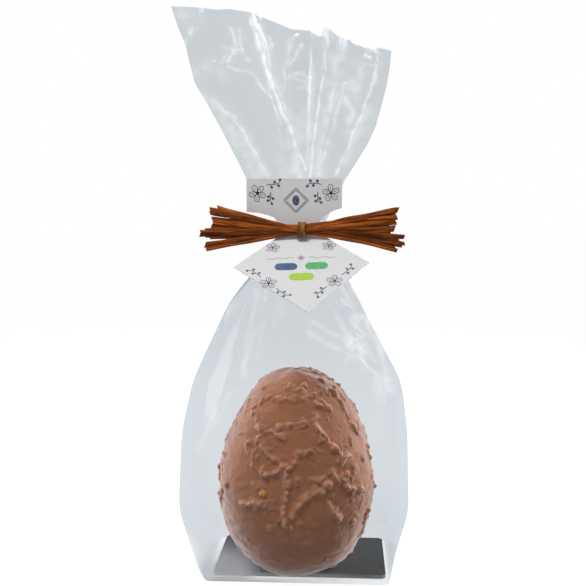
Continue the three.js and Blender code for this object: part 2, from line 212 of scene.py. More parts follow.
# Soft folds in the front of the body: how strong the glint painted along each is, how wide, and its points
BODY_CREASES = (
    (0.75, 1.3, ((5, 136), (11.6, 130.5), (20, 127.4), (28.2, 122.3), (35, 118.7), (40.6, 114))),
    (0.8, 1.2, ((24.5, 126.4), (28.2, 125.4), (31.2, 127), (35.3, 128.6))),
    (0.3, 1.5, ((-21.5, 153.6), (-22.6, 141.7), (-24.2, 128.7), (-26.3, 113))),
    (0.3, 1.5, ((-10.6, 150), (-12.2, 139))),
    (0.3, 1.5, ((-42, 94), (-46.4, 86), (-51, 74))),
    (0.5, 1.5, ((36, 140), (44, 122), (49, 104))),
)

# The label's two faces
LABEL_FACE_Y = -16.0
LABEL_FOLD = (-15.5, 187.25)
LABEL_THICK = 0.5
LABEL_MIDDLE = -3.5
FLAP_RISE = math.radians(40)
FLAP_TURN = math.radians(3)
INK_LIFT = 0.06

# The studio: a ring of light round the object, square to the view, that shows on folds and edges
RING_STRENGTH = 6.0
RING_REACH = 0.25
RING_LOWEST = 0.0
RING_WHOLE = 0.3
BEHIND_STRENGTH = 1.0
SURROUND_LEFT = 0.5
SURROUND_RIGHT = 0.2
# The lights in metres: name, place, what it points at, size and radiance
WHOLE_MIDDLE = (0, 0, 0.14)
EGG_MIDDLE = (0, 0, 0.06)
LIGHTS = (
    ("key", (-0.2, -0.45, 1.0), WHOLE_MIDDLE, (0.2, 0.2), 58),
    ("fill", (0.5, -1.0, 0.35), WHOLE_MIDDLE, (0.6, 0.6), 0.4),
    ("left_rim", (-0.7, 0.4, 0.2), EGG_MIDDLE, (0.4, 0.5), 14),
    ("right_rim", (0.7, 0.4, 0.2), EGG_MIDDLE, (0.4, 0.5), 20),
)

# The bundle of bark strips and its tie
BOW_MIDDLE = (1, -21.8, 188.5)
BOW_HALF = 55
TIE_RADIUS = 3.75
TIE_WIDTH = 4.4
TIE_WRAPS = 3
LOOP_MIDDLE = (0.5, -8.8)
LOOP_HALF = (14, 9)
LOOP_POWER = 0.4
LOOP_WIRE = 0.7
# Clusters of strip ends from the top down: how high each is, how many strips it has and how far
# out it reaches
LEFT_ENDS = ((10.6, 4, 50), (4.6, 5, 49), (-2.4, 6, 55), (-9.2, 5, 53))
RIGHT_ENDS = ((10.2, 4, 52), (5.2, 5, 51), (-0.8, 5, 50), (-6.2, 3, 55), (-10.0, 3, 54))
END_SPREAD = 4.2
END_UNEVEN = 6
END_DEPTHS = (-2.4, 1.0)
STRIP_WIDTHS = (1.6, 3.9)
STRIP_ROLL = 0.6
STRIP_HALF_THICK = 0.4
GATHERED = 1.7


def mix(a, b, share):
    return a + (b - a) * share


def smoothstep(low, high, value):
    share = np.clip((value - low) / (high - low), 0, 1)
    return share * share * (3 - 2 * share)


def signed_power(value, power):
    return np.sign(value) * np.abs(value) ** power


def number_stream(seed):
    """The same repeatable numbers from 0 to 1 that place the crags of the solid."""
    state = seed
    while True:
        state = (state * 1664525 + 1013904223) % 4294967296
        yield state / 4294967296


def noise_at(points, size, seed=0.0):
    """Smooth noise from about -1 to 1 at points in millimetres, with features of a size."""
    shift = Vector((seed, 0.37 * seed, -0.61 * seed))
    return np.array([noise.noise(Vector(p) / size + shift) for p in points])


def distance_to_segment(points, start, end):
    start, end = np.asarray(start, dtype=float), np.asarray(end, dtype=float)
    way = end - start
    share = np.clip((points - start) @ way / max(way @ way, 1e-9), 0, 1)
    return np.linalg.norm(points - start - share[..., None] * way, axis=-1)


def distance_to_path(points, path):
    return np.min([distance_to_segment(points, a, b) for a, b in zip(path, path[1:])], axis=0)


def mesh_piece(name, points, faces, look, node=None):
    """A smooth mesh from points in millimetres, riding on the one body."""
    mesh = bpy.data.meshes.new(name)
    mesh.from_pydata((np.asarray(points, dtype=float) * MM).tolist(), [], faces)
    mesh.polygons.foreach_set("use_smooth", np.ones(len(mesh.polygons), dtype=bool))
    mesh.materials.append(look)
    piece = bpy.data.objects.new(name, mesh)
    bpy.context.scene.collection.objects.link(piece)
    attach(piece, BODY)
    if node:
        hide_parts(node)
    return piece


def set_attribute(piece, name, values):
    piece.data.attributes.new(name, "FLOAT", "POINT").data.foreach_set("value", values)


def ring_faces(rows, columns):
    """Quads over rows of points that each close on themselves."""
    faces = []
    for row in range(rows - 1):
        low, high = row * columns, (row + 1) * columns
        for i in range(columns):
            j = (i + 1) % columns
            faces.append((low + i, low + j, high + j, high + i))
    return faces


# Materials


def new_look(name):
    look = bpy.data.materials.new(name)
    look.use_nodes = True
    return look, look.node_tree.nodes["Principled BSDF"]


def add_node(look, kind, inputs=None, **settings):
    made = look.node_tree.nodes.new(kind)
    for key, value in settings.items():
        setattr(made, key, value)
    for key, value in (inputs or {}).items():
        made.inputs[key].default_value = value
    return made


def join(look, source, target):
    look.node_tree.links.new(source, target)


def add_attribute(look, name):
    return add_node(look, "ShaderNodeAttribute", attribute_name=name).outputs["Fac"]


def add_noise(look, scale, detail=4.0, stretch=None, source=None):
    """Noise over the object's own coordinates in metres, or over a vector that a node gives."""
    texture = add_node(look, "ShaderNodeTexNoise", {"Scale": scale, "Detail": detail})
    vector = source or add_node(look, "ShaderNodeTexCoord").outputs["Object"]
    if stretch:
        mapping = add_node(look, "ShaderNodeMapping", {"Scale": stretch})
        join(look, vector, mapping.inputs["Vector"])
        vector = mapping.outputs["Vector"]
    join(look, vector, texture.inputs["Vector"])
    return texture.outputs["Fac"]


def add_ramp(look, source, stops):
    ramp = add_node(look, "ShaderNodeValToRGB")
    points = ramp.color_ramp.elements
    for index, (place, color) in enumerate(stops):
        point = points[index] if index < 2 else points.new(place)
        point.position = place
        point.color = (*color, 1)
    join(look, source, ramp.inputs["Fac"])
    return ramp.outputs["Color"]


def add_mix(look, factor, first, second, blend="MIX"):
    """A colour mix of two sockets or plain colours."""
    made = add_node(look, "ShaderNodeMix", data_type="RGBA", blend_type=blend)
    factor_socket, first_socket, second_socket = made.inputs[0], made.inputs[6], made.inputs[7]
    for socket, value in ((factor_socket, factor), (first_socket, first), (second_socket, second)):
        if isinstance(value, bpy.types.NodeSocket):
            join(look, value, socket)
        elif isinstance(value, tuple):
            socket.default_value = (*value, 1)
        else:
            socket.default_value = value
    return made.outputs[2]


def add_bump(look, height, strength, distance):
    bump = add_node(look, "ShaderNodeBump", {"Strength": strength, "Distance": distance})
    join(look, height, bump.inputs["Height"])
    return bump.outputs["Normal"]


def chocolate_look():
    """Milk chocolate, half matt, with chopped nut showing in places; painted shade makes it darker in
    hollows and a painted highlight makes it paler on ridges.
    """
    look, shader = new_look("chocolate")
    # Painted light: the colour follows the relief height, darker in the hollows as painted shade and paler
    # on the ridge tops as a painted highlight.
    tone = add_ramp(
        look, add_attribute(look, "ridge"),
        ((0.0, (0.42, 0.152, 0.064)), (0.5, (0.48, 0.187, 0.088)), (1.0, (0.57, 0.255, 0.14))),
    )
    cloud = add_ramp(look, add_noise(look, 55), ((0.3, (0.88, 0.86, 0.85)), (0.7, (1.08, 1.08, 1.08))))
    brown = add_mix(look, 1.0, tone, cloud, "MULTIPLY")
    kernel = add_ramp(look, add_noise(look, 260), ((0.35, (0.50, 0.11, 0.05)), (0.65, (0.72, 0.33, 0.07))))
    join(look, add_mix(look, add_attribute(look, "nut"), brown, kernel), shader.inputs["Base Color"])
    rough = add_ramp(look, add_noise(look, 420), ((0.3, (0.40,) * 3), (0.75, (0.62,) * 3)))
    join(look, rough, shader.inputs["Roughness"])
    join(look, add_bump(look, add_noise(look, 900, 6), 0.35, 0.0004), shader.inputs["Normal"])
    shader.inputs["Sheen Weight"].default_value = 1.0
    shader.inputs["Sheen Roughness"].default_value = 0.4
    shader.inputs["Sheen Tint"].default_value = (1.0, 0.88, 0.84, 1)
    return look


def film_look(name, tint, shine):
    """Clear glossy film: it takes a little of the light that passes, most where it is seen edge on;
    a glint is painted near white along its creases, and a reflection is painted in as a pale matt layer."""
    look, shader = new_look(name)
    nodes = look.node_tree.nodes
    facing = add_node(look, "ShaderNodeLayerWeight", {"Blend": 0.5}).outputs["Facing"]
    edge = add_node(look, "ShaderNodeMath", {1: 3.0}, operation="POWER")
    join(look, facing, edge.inputs[0])
    clear = add_node(look, "ShaderNodeBsdfTransparent")
    dimmed = add_mix(look, edge.outputs[0], tint, (0.70, 0.73, 0.75))
    # Painted glint: along creases the transparent colour turns near white, which shows as a white
    # highlight.
    bright = add_mix(look, add_attribute(look, "painted_glint"), dimmed, (0.985, 0.99, 1.0))
    join(look, bright, clear.inputs["Color"])
    gloss = add_node(look, "ShaderNodeBsdfGlossy", {"Color": (1, 1, 1, 1), "Roughness": 0.08})
    share = add_node(look, "ShaderNodeMath", {1: 10 * shine, 2: shine}, operation="MULTIPLY_ADD")
    join(look, edge.outputs[0], share.inputs[0])
    both = add_node(look, "ShaderNodeMixShader")
    join(look, share.outputs[0], both.inputs["Fac"])
    join(look, clear.outputs["BSDF"], both.inputs[1])
    join(look, gloss.outputs["BSDF"], both.inputs[2])
    # The pale matt layer that paints in a reflection.
    shader.inputs["Base Color"].default_value = (0.85, 0.87, 0.9, 1)
    shader.inputs["Roughness"].default_value = 0.6
    # Painted reflection: the pale matt layer is mixed in where the reflection is painted.
    painted_reflection_mix = add_node(look, "ShaderNodeMixShader")
    join(look, add_attribute(look, "painted_reflection"), painted_reflection_mix.inputs["Fac"])
    join(look, both.outputs["Shader"], painted_reflection_mix.inputs[1])
    join(look, shader.outputs["BSDF"], painted_reflection_mix.inputs[2])
    join(look, painted_reflection_mix.outputs["Shader"], nodes["Material Output"].inputs["Surface"])
    return look


def card_look():
    """Dark coated card with a pale cut edge."""
    look, shader = new_look("card")
    normal = add_node(look, "ShaderNodeNewGeometry").outputs["Normal"]
    parts = add_node(look, "ShaderNodeSeparateXYZ")
    join(look, normal, parts.inputs["Vector"])
    flat = add_node(look, "ShaderNodeMath", operation="ABSOLUTE")
    join(look, parts.outputs["Z"], flat.inputs[0])
    stops = ((0.3, (0.016, 0.015, 0.014)), (0.7, (0.028, 0.025, 0.023)))
    dark = add_ramp(look, add_noise(look, 300), stops)
    join(look, add_mix(look, flat.outputs[0], (0.42, 0.40, 0.38), dark), shader.inputs["Base Color"])
    rough = add_ramp(look, add_noise(look, 700), ((0.3, (0.34,) * 3), (0.7, (0.46,) * 3)))
    join(look, rough, shader.inputs["Roughness"])
    join(look, add_bump(look, add_noise(look, 1500), 0.12, 0.0002), shader.inputs["Normal"])
    shader.inputs["Specular IOR Level"].default_value = 0.15
    return look


def paper_look():
    """Matt white card with a faint fibre grain."""
    look, shader = new_look("label_card")
    grain = add_noise(look, 1300, 8)
    white = add_ramp(look, grain, ((0.3, (0.60, 0.595, 0.59)), (0.7, (0.66, 0.655, 0.65))))
    join(look, white, shader.inputs["Base Color"])
    join(look, add_bump(look, grain, 0.25, 0.0002), shader.inputs["Normal"])
    shader.inputs["Roughness"].default_value = 0.75
    return look


def ink_look(name, color):
    """Print on the label: a little uneven, as ink on uncoated card is."""
    look, shader = new_look(name)
    thin = tuple(mix(value, 0.7, 0.12) for value in color)
    patchy = add_ramp(look, add_noise(look, 900, 6), ((0.4, color), (0.7, thin)))
    join(look, patchy, shader.inputs["Base Color"])
    shader.inputs["Roughness"].default_value = 0.6
    return look


def fibre_look(name, dark, middle, pale, rough):
    """Dry fibre with streaks along each strip; each strip has its own tone."""
    look, shader = new_look(name)
    tone = add_attribute(look, "tone")
    place = add_node(look, "ShaderNodeCombineXYZ")
    sources = (add_attribute(look, "along"), add_attribute(look, "across"), tone)
    for socket, source in zip(place.inputs, sources):
        join(look, source, socket)
    streak = add_noise(look, 1.0, 8, (0.05, 2.4, 37), place.outputs["Vector"])
    patch = add_noise(look, 1.0, 3, (0.09, 0.3, 53), place.outputs["Vector"])
    fibre = add_ramp(look, streak, ((0.28, dark), (0.5, middle), (0.74, pale)))
    shade = add_ramp(look, patch, ((0.3, (0.62, 0.6, 0.58)), (0.72, (1.2, 1.2, 1.2))))
    own = add_ramp(look, tone, ((0.0, (0.6, 0.56, 0.54)), (1.0, (1.35, 1.35, 1.35))))
    brown = add_mix(look, 1.0, add_mix(look, 1.0, fibre, shade, "MULTIPLY"), own, "MULTIPLY")
    join(look, brown, shader.inputs["Base Color"])
    join(look, add_bump(look, streak, 0.8, 0.0006), shader.inputs["Normal"])
    shader.inputs["Roughness"].default_value = rough
    shader.inputs["Specular IOR Level"].default_value = 0.2
    return look


# The egg


def egg_point(turn, rise):
    radius = (EGG_WIDTH / 2) * np.sin(rise) ** EGG_BLUNT * (1 + EGG_FATNESS * np.cos(rise))
    return np.stack((radius * np.cos(turn), radius * np.sin(turn), EGG_HEIGHT / 2 * (1 - np.cos(rise))), -1)


def egg_front(x, z):
    """The point of the smooth egg's front that is x to the right of its axis and z above its foot end."""
    rise = math.acos(1 - 2 * z / EGG_HEIGHT)
    radius = egg_point(0.0, rise)[0]
    return egg_point(-math.acos(x / radius), rise)


def crag_segments():
    """The crags of the solid: each a segment with a height and a width."""
    random = number_stream(CRAGS["seed"])
    crags = []
    for _ in range(CRAGS["count"]):
        turn = 2 * math.pi * next(random)
        rise = math.acos(1 - 2 * mix(CRAGS["lowest"], CRAGS["highest"], next(random)))
        way = math.pi * next(random)
        reach = CRAGS["length"] / EGG_WIDTH * mix(CRAGS["smallest"], 1, next(random) ** 2)
        end = egg_point(turn + math.cos(way) * reach, rise + math.sin(way) * reach)
        size = mix(CRAGS["smallest"], 1, next(random))
        if math.sin(turn) < CRAGS["front_less"]:
            continue
        crags.append((egg_point(turn, rise), end, CRAGS["height"] * size, CRAGS["width"] * size))
    return crags


def ridge_profile(distance, width):
    share = np.clip(1 - distance / width, 0, 1)
    return share * share * (3 - 2 * share)


def nut_spots(path, spacing, random):
    """Places of small kernels along a ridge, strewn a little to both sides."""
    spots = []
    for start, end in zip(path, path[1:]):
        for _ in range(int(np.linalg.norm(end - start) / spacing) + 1):
            spots.append(mix(start, end, random.random()) + random.normal(0, 1.0, 3))
    return spots


def make_egg(look):
    work = bmesh.new()
    bmesh.ops.create_icosphere(work, subdivisions=1, radius=1)
    bmesh.ops.subdivide_edges(work, edges=work.edges[:], cuts=EGG_CUTS, use_grid_fill=True)
    ball = np.array([v.co.normalized() for v in work.verts])
    faces = [[v.index for v in f.verts] for f in work.faces]
    work.free()
    turn = np.arctan2(ball[:, 1], ball[:, 0])
    rise = np.arccos(np.clip(-ball[:, 2], -1, 1))
    smooth = egg_point(turn, rise)

    # The ridges wander, so they are measured from places that noise has shifted.
    random = np.random.default_rng(21)
    drift = np.stack([noise_at(smooth, 4.5, seed) for seed in (11, 23, 37)], -1)
    places = smooth + 1.5 * drift + 0.5 * np.roll(drift, 1, axis=1)
    lumps = np.clip(0.8 + 0.9 * noise_at(smooth, 2.0, 5), 0.25, 1.5)
    spread = 1 + 0.5 * noise_at(smooth, 3.2, 15)
    ridge = np.zeros(len(smooth))
    spots = []
    for start, end, height, width in crag_segments():
        profile = ridge_profile(distance_to_segment(places, start, end), CRAG_WIDENING * width * spread)
        ridge = np.maximum(ridge, CRAG_LOWERING * height * profile * np.clip(lumps, 0.45, 1.1))
        spots += nut_spots((start, end), CRAG_NUT_SPACING, random)
    for path in FRONT_RIDGES:
        path = [egg_front(x, z) for x, z in path]
        profile = ridge_profile(distance_to_path(places, path), RIDGE_WIDTH * spread)
        ridge = np.maximum(ridge, RIDGE_HEIGHT * lumps * profile)
        spots += nut_spots(path, NUT_SPACING, random)

    # Between the ridges the chocolate is drawn out in thin threads, with chopped nut under it.
    thread = np.clip(1 - np.abs(noise_at(places, 9.0, 61)) / 0.10, 0, 1)
    broken = smoothstep(-0.05, 0.35, noise_at(smooth, 13.0, 71))
    upper = smoothstep(12, 45, smooth[:, 2])
    ridge = np.maximum(ridge, THREAD_HEIGHT * thread * broken * lumps * (0.3 + 0.7 * upper))
    for _ in range(LOOSE_NUTS):
        spots.append(egg_point(2 * np.pi * random.random(), math.acos(1 - 2 * random.uniform(0.05, 0.97))))
    bumps = np.zeros(len(smooth))
    for spot in spots:
        radius = random.uniform(0.8, 2.1)
        round_top = np.clip(1 - (np.linalg.norm(places - spot, axis=1) / radius) ** 2, 0, 1) ** 0.6
        bumps = np.maximum(bumps, radius * random.uniform(0.35, 0.95) * round_top)
    nut = np.zeros(len(smooth))
    for x, z, radius in BARE_NUTS:
        near = np.linalg.norm(smooth - egg_front(x, z), axis=1) / radius
        bumps = np.maximum(bumps, 1.4 * np.sqrt(np.clip(1 - near ** 2, 0, 1)))
        nut = np.maximum(nut, smoothstep(1.0, 0.7, near))
    relief = np.maximum(ridge, bumps) + 0.45 * np.minimum(ridge, bumps)
    fine = 0.12 * noise_at(smooth, 1.4, 3) + 0.35 * noise_at(smooth * (1, 1, 1.8), 6.0, 9)
    swell = CRAGS["swell"] * np.sin(3 * turn + 2 * rise) * np.sin(5 * rise)
    outward = smooth * (1, 1, (EGG_WIDTH / EGG_HEIGHT) ** 2)
    outward[:, 2] -= EGG_HEIGHT / 2 * (EGG_WIDTH / EGG_HEIGHT) ** 2
    outward /= np.linalg.norm(outward, axis=1)[:, None]
    points = smooth + outward * (relief + swell + fine)[:, None]
    points[:, 2] = np.maximum(points[:, 2], EGG_FOOT)
    points += (*EGG_PLACE, CARD_TOP - EGG_FOOT)
    piece = mesh_piece("egg_chocolate", points, faces, look, "egg")
    # The relief height, which the chocolate's colour reads for its painted shade in hollows and painted
    # highlight on ridges.
    set_attribute(piece, "ridge", np.clip(relief / 2.0, 0, 1))
    set_attribute(piece, "nut", nut)
    return piece


# The film


def film_extent(key, heights):
    """One of the film's extents over height: straight from crease to crease, with each crease softened."""
    soften = CREASE_SOFTNESS
    fine = np.arange(0, NECK_Z + 1.0)
    straight = np.interp(fine, SECTIONS["z"], SECTIONS[key])
    kernel = np.exp(-0.5 * (np.arange(-3 * soften, 3 * soften + 1) / soften) ** 2)
    padded = np.pad(straight, 3 * soften, mode="reflect", reflect_type="odd")
    return np.interp(heights, fine, np.convolve(padded, kernel / kernel.sum(), mode="valid"))


def zigzag(places, count, random):
    """A zigzag from -1 to 1 over places from 0 to 1 that closes on itself, with uneven folds."""
    knots = (np.arange(2 * count) + random.uniform(-0.35, 0.35, 2 * count)) / (2 * count)
    depths = np.tile((1, -1), count) * random.uniform(0.45, 1, 2 * count)
    return np.interp(places, knots, depths, period=1)


def film_body(heights, turns, random):
    left, right, front, back, power = (
        film_extent(key, heights)[:, None] for key in ("left", "right", "front", "back", "power")
    )
    gathered = smoothstep(GATHER_Z, NECK_Z, heights)[:, None]
    fold = 1 + GATHER_DEPTH * gathered ** 2 * zigzag(turns / (2 * np.pi), GATHER_FOLDS, random)
    x = (left + right) / 2 + signed_power(np.cos(turns), power) * (right - left) / 2 * fold
    y = (front + back) / 2 + signed_power(np.sin(turns), power) * (back - front) / 2 * fold
    return np.stack((x, y, np.broadcast_to(heights[:, None], x.shape)), -1)


def film_fan(shares, turns, neck):
    across = (1 - np.cos(turns)) / 2
    share = shares[:, None]
    opened = np.sin(np.pi / 2 * share)
    right, left = (np.interp(share, *np.array(edge).T) for edge in (FAN_RIGHT_EDGE, FAN_LEFT_EDGE))
    spread = mix(right, left, across)
    flat = smoothstep(0, FAN["flat_from"], share)
    at_neck, at_top, depth = np.array(FAN_FOLDS).T
    pleat = opened * np.array([np.interp(across, mix(at_neck, at_top, s), depth) for s in shares])
    apart = signed_power(np.sin(turns), 0.4) * FAN["apart"] / 2
    x = mix(neck[:, 0], mix(FAN["right"], FAN["left"], across), spread)
    y = mix(neck[:, 1], mix(NECK_Y, FAN["y"], share) + pleat + apart, flat)
    z = mix(neck[:, 2], np.interp(across, *np.array(FAN_TOP).T), share)
    return np.stack((x, y, z), -1)


def crumple_segments(random):
    """Short creases that cross each other in each crumpled patch."""
    for x, z, radius, count in CRUMPLES:
        for _ in range(count):
            angle, way = 2 * np.pi * random.random(2)
            out = radius * np.sqrt(random.random())
            reach = random.uniform(1.5, 4)
            middle = np.array((x + out * np.cos(angle), z + out * np.sin(angle)))
            step = reach * np.array((np.cos(way), np.sin(way)))
            yield middle - step, middle + step


def crease_film(grid, turns, random):
    """Push sharp creases and crumples out of the film's front, and give the strength of the glint
    painted along them, where the film's colour turns near white."""
    facing = smoothstep(0.08, 0.4, -np.sin(turns))
    flat = grid.reshape(-1, 3) * (1, 0, 1)
    drift = np.stack([noise_at(flat, 7.0, seed) for seed in (3, 17)], -1).reshape(*grid.shape[:2], 2)
    seen = grid[:, :, (0, 2)] + 1.6 * drift
    patchy = np.clip(0.75 + 1.1 * noise_at(flat, 5.0, 29), 0.2, 1).reshape(grid.shape[:2])
    out = np.zeros(grid.shape[:2])
    # The strength of the glint painted at each place of the film.
    bright = np.zeros(grid.shape[:2])
    for strength, width, path in FAN_CREASES:
        near = distance_to_path(seen, path)
        out = np.maximum(out, random.uniform(0.9, 1.6) * np.exp(-near / 1.3))
        bright = np.maximum(bright, strength * np.exp(-((near / width) ** 1.5)))
    for strength, width, path in BODY_CREASES:
        near = distance_to_path(seen, path)
        out = np.maximum(out, random.uniform(0.9, 1.5) * np.exp(-((near / 3.2) ** 1.5)))
        bright = np.maximum(bright, strength * np.exp(-((near / width) ** 1.5)))
    for path in crumple_segments(random):
        near = distance_to_path(seen, path)
        out = np.maximum(out, random.uniform(0.5, 1.2) * np.exp(-near / 0.9))
        bright = np.maximum(bright, random.uniform(0.2, 0.9) * np.exp(-near / 0.8))
    grid[:, :, 1] -= out * facing
    return bright * patchy


def paint_film_reflection(grid, turns):
    """A reflection painted into the film's front: a pale matt layer low on the left, and a little along its
    foot in the middle.
    """
    x, z = grid[:, :, 0], grid[:, :, 2]
    corner = 0.72 * smoothstep(-14, -30, x) * smoothstep(34, 14, z)
    foot = 0.3 * smoothstep(16, 3, z) * smoothstep(36, 14, np.abs(x - EGG_PLACE[0]))
    return np.maximum(corner, foot) * smoothstep(0.1, 0.5, -np.sin(turns))


def strew_creases(grid, turns, kinds, random):
    """Fine creases all over the film, pushed outwards. Each kind has a count, the most rows and
    columns that it crosses, a height and a width."""
    rows, columns = grid.shape[:2]
    out = np.zeros((rows, columns))
    side = np.sign(np.sin(turns))
    for count, most_rows, most_columns, height, width in kinds:
        for _ in range(count):
            row, column = random.integers(rows), random.integers(columns)
            last_row = np.clip(row + random.integers(-most_rows, most_rows + 1), 0, rows - 1)
            last_column = (column + random.integers(-most_columns, most_columns + 1)) % columns
            near = distance_to_segment(grid, grid[row, column], grid[last_row, last_column])
            profile = height * random.uniform(0.3, 1) * np.exp(-near / width)
            out = np.maximum(out, profile * (side == side[column]))
    grid[:, :, 1] += out * smoothstep(0.08, 0.4, np.abs(np.sin(turns))) * side


def make_film():
    random = np.random.default_rng(4)
    turns = 2 * np.pi * np.arange(FILM_COLUMNS) / FILM_COLUMNS
    body = film_body(np.linspace(0, NECK_Z, BODY_ROWS), turns, random)
    fan = film_fan(np.linspace(0, 1, FAN_ROWS), turns, body[-1])
    strew_creases(body, turns, BODY_FINE_CREASES, random)
    strew_creases(fan, turns, FAN_FINE_CREASES, random)
    body_look = film_look("film_body", BODY_TINT, BODY_SHINE)
    fan_look = film_look("film_fan", FAN_TINT, FAN_SHINE)
    for name, grid, look in (("bag_film", body, body_look), ("bag_fan", fan, fan_look)):
        bright = crease_film(grid, turns, random)
        faces = ring_faces(len(grid), FILM_COLUMNS)
        piece = mesh_piece(name, grid.reshape(-1, 3), faces, look, "bag")
        set_attribute(piece, "painted_glint", bright.ravel())
        set_attribute(piece, "painted_reflection", paint_film_reflection(grid, turns).ravel())


# The print on the label


def upper_face(x, up):
    """A point on the label's upright front, from the middle of its fold."""
    return (x, LABEL_FACE_Y - INK_LIFT, LABEL_FOLD[1] + up)


def flap_face(x, up):
    """A point on the label's flap, which leans out from the fold; up is negative below the fold."""
    across = x * math.cos(FLAP_TURN) - up * math.sin(FLAP_TURN)
    down = x * math.sin(FLAP_TURN) + up * math.cos(FLAP_TURN)
    lift = LABEL_THICK + INK_LIFT
    y = LABEL_FOLD[0] + down * math.cos(FLAP_RISE) - lift * math.sin(FLAP_RISE)
    return (across, y, LABEL_FOLD[1] + down * math.sin(FLAP_RISE) + lift * math.cos(FLAP_RISE))


class Print:
    """Flat shapes of one ink, gathered into one mesh."""

    def __init__(self, name, color):
        self.name = name
        self.color = color
        self.points = []
        self.faces = []

    def field(self, face, outline):
        first = len(self.points)
        self.points += [face(x, up) for x, up in outline]
        self.faces.append(tuple(range(first, len(self.points))))

    def line(self, face, path, width, closed=False):
        path = np.asarray(path, dtype=float)
        ways = np.roll(path, -1, axis=0) - np.roll(path, 1, axis=0) if closed else np.gradient(path, axis=0)
        ways /= np.linalg.norm(ways, axis=1)[:, None]
        side = np.stack((-ways[:, 1], ways[:, 0]), -1) * width / 2
        first = len(self.points)
        for left, right in zip(path + side, path - side):
            self.points += [face(*left), face(*right)]
        count = len(path)
        for i in range(count if closed else count - 1):
            j = (i + 1) % count
            self.faces.append(tuple(first + k for k in (2 * i, 2 * i + 1, 2 * j + 1, 2 * j)))

    def make(self):
        mesh_piece(self.name, self.points, self.faces, ink_look(self.name, self.color))


def oval(x, up, half_x, half_up, count=24):
    turns = 2 * np.pi * np.arange(count) / count
    return [(x + half_x * math.cos(t), up + half_up * math.sin(t)) for t in turns]


def diamond(x, up, reach):
    """A square standing on its corner, with a point at each corner and along each side."""
    corners = [(x + reach, up), (x, up + reach), (x - reach, up), (x, up - reach)]
    return [
        (mix(a[0], b[0], share), mix(a[1], b[1], share))
        for a, b in zip(corners, corners[1:] + corners[:1])
        for share in (0, 0.1, 0.5, 0.9)
    ]


def pill(x, up, half_x, half_up):
    """A bar with round ends."""
    turns = np.linspace(-np.pi / 2, np.pi / 2, 9)
    right = [(x + half_x - half_up + half_up * math.cos(t), up + half_up * math.sin(t)) for t in turns]
    return right + [(2 * x - a, 2 * up - b) for a, b in right]


def petal(x, up, way, length, width):
    """A closed petal that starts at a point and swells towards its round tip."""
    steps = np.linspace(0, 2 * np.pi, 18, endpoint=False)
    along = length * (1 - np.cos(steps)) / 2
    side = width / 2 * np.sin(steps) * np.sqrt((1 - np.cos(steps)) / 2)
    return [
        (x + a * math.cos(way) - s * math.sin(way), up + a * math.sin(way) + s * math.cos(way))
        for a, s in zip(along, side)
    ]


def blossom(ink, face, x, up, size, turn):
    """Five outlined petals with a vein in each, round a filled heart."""
    for number in range(5):
        way = turn + 2 * math.pi * number / 5
        ink.line(face, petal(x, up, way, size, 0.75 * size), 0.34, closed=True)
        vein = [(x + size * r * math.cos(way), up + size * r * math.sin(way)) for r in (0.35, 0.55, 0.75)]
        ink.line(face, vein, 0.3)
    ink.field(face, oval(x, up, 0.2 * size, 0.2 * size, 12))


def berry_twig(ink, face, x, up, length, way, bend):
    """A bent twig with round berries on short stalks to both sides."""
    shares = np.linspace(0, 1, 9)
    ways = way + bend * (shares - 0.5)
    steps = length / 8 * np.stack((np.cos(ways), np.sin(ways)), -1)
    path = np.array((x, up)) + np.cumsum(steps, axis=0) - steps[0]
    ink.line(face, path, 0.42)
    for number, place in enumerate((2, 4, 6, 8)):
        side = ways[place] + (0.9 if number % 2 else -0.9)
        tip = path[place] + 1.7 * np.array((math.cos(side), math.sin(side)))
        ink.line(face, (path[place], tip), 0.3)
        ink.field(face, oval(tip[0], tip[1], 0.75, 0.75, 12))


def make_print():
    indigo = Print("print_indigo", (0.055, 0.050, 0.12))
    middle = LABEL_MIDDLE
    for side in (-1, 1):
        blossom(indigo, upper_face, middle + side * 20, 21, 4.6, 0.4 * side)
        berry_twig(indigo, upper_face, middle + side * 13, 21.5, 5, -math.pi / 2, 0.5 * side)
        berry_twig(indigo, upper_face, middle + side * 15, 25.5, 7, math.pi / 2 + side * 1.45, 0.5)
        blossom(indigo, flap_face, side * 17, -40.5, 4.2, 0.3)
        berry_twig(indigo, flap_face, side * 13, -44.5, 8, -math.pi / 2 + 0.75 * -side, 0.3)
        berry_twig(indigo, flap_face, side * 21, -36, 8, math.pi / 2 - 0.75 * side, 0.3)
        blossom(indigo, flap_face, side * 15, -13, 3.8, 0.1)
    for reach in (6.8, 5.6):
        indigo.line(upper_face, diamond(middle + 1, 17, reach), 0.35, closed=True)
    indigo.field(upper_face, oval(middle + 1, 17, 2.0, 2.8))
    grey = Print("print_grey", (0.26, 0.24, 0.25))
    grey.line(flap_face, [(x, -22 + 0.5 * math.sin(0.9 * x)) for x in np.linspace(-18, -4, 29)], 0.4)
    grey.line(flap_face, [(x, -22 - 0.5 * math.sin(0.9 * x)) for x in np.linspace(4, 18, 29)], 0.4)
    grey.field(flap_face, ((-2, -22), (0, -24), (2, -22), (0, -20)))
    green = Print("print_green", (0.06, 0.32, 0.10))
    green.field(flap_face, pill(8, -28.5, 6, 2.7))
    lime = Print("print_lime", (0.32, 0.50, 0.02))
    lime.field(flap_face, pill(0, -36.5, 6.5, 2.7))
    navy = Print("print_navy", (0.02, 0.06, 0.14))
    navy.field(flap_face, pill(-8, -28.5, 6, 2.7))
    for ink in (indigo, grey, green, lime, navy):
        ink.make()


# The bundle of bark and its tie


def cluster_ends(clusters, side, random):
    """The ends of the strips on one side, from the top down."""
    ends = []
    for level, count, reach in clusters:
        for number in range(count):
            rise = level - END_SPREAD * ((number + 0.5) / count - 0.5) + random.uniform(-0.8, 0.8)
            out = reach - END_UNEVEN * random.random() ** 2
            ends.append(np.array((side * out, random.uniform(*END_DEPTHS), rise)))
    return ends


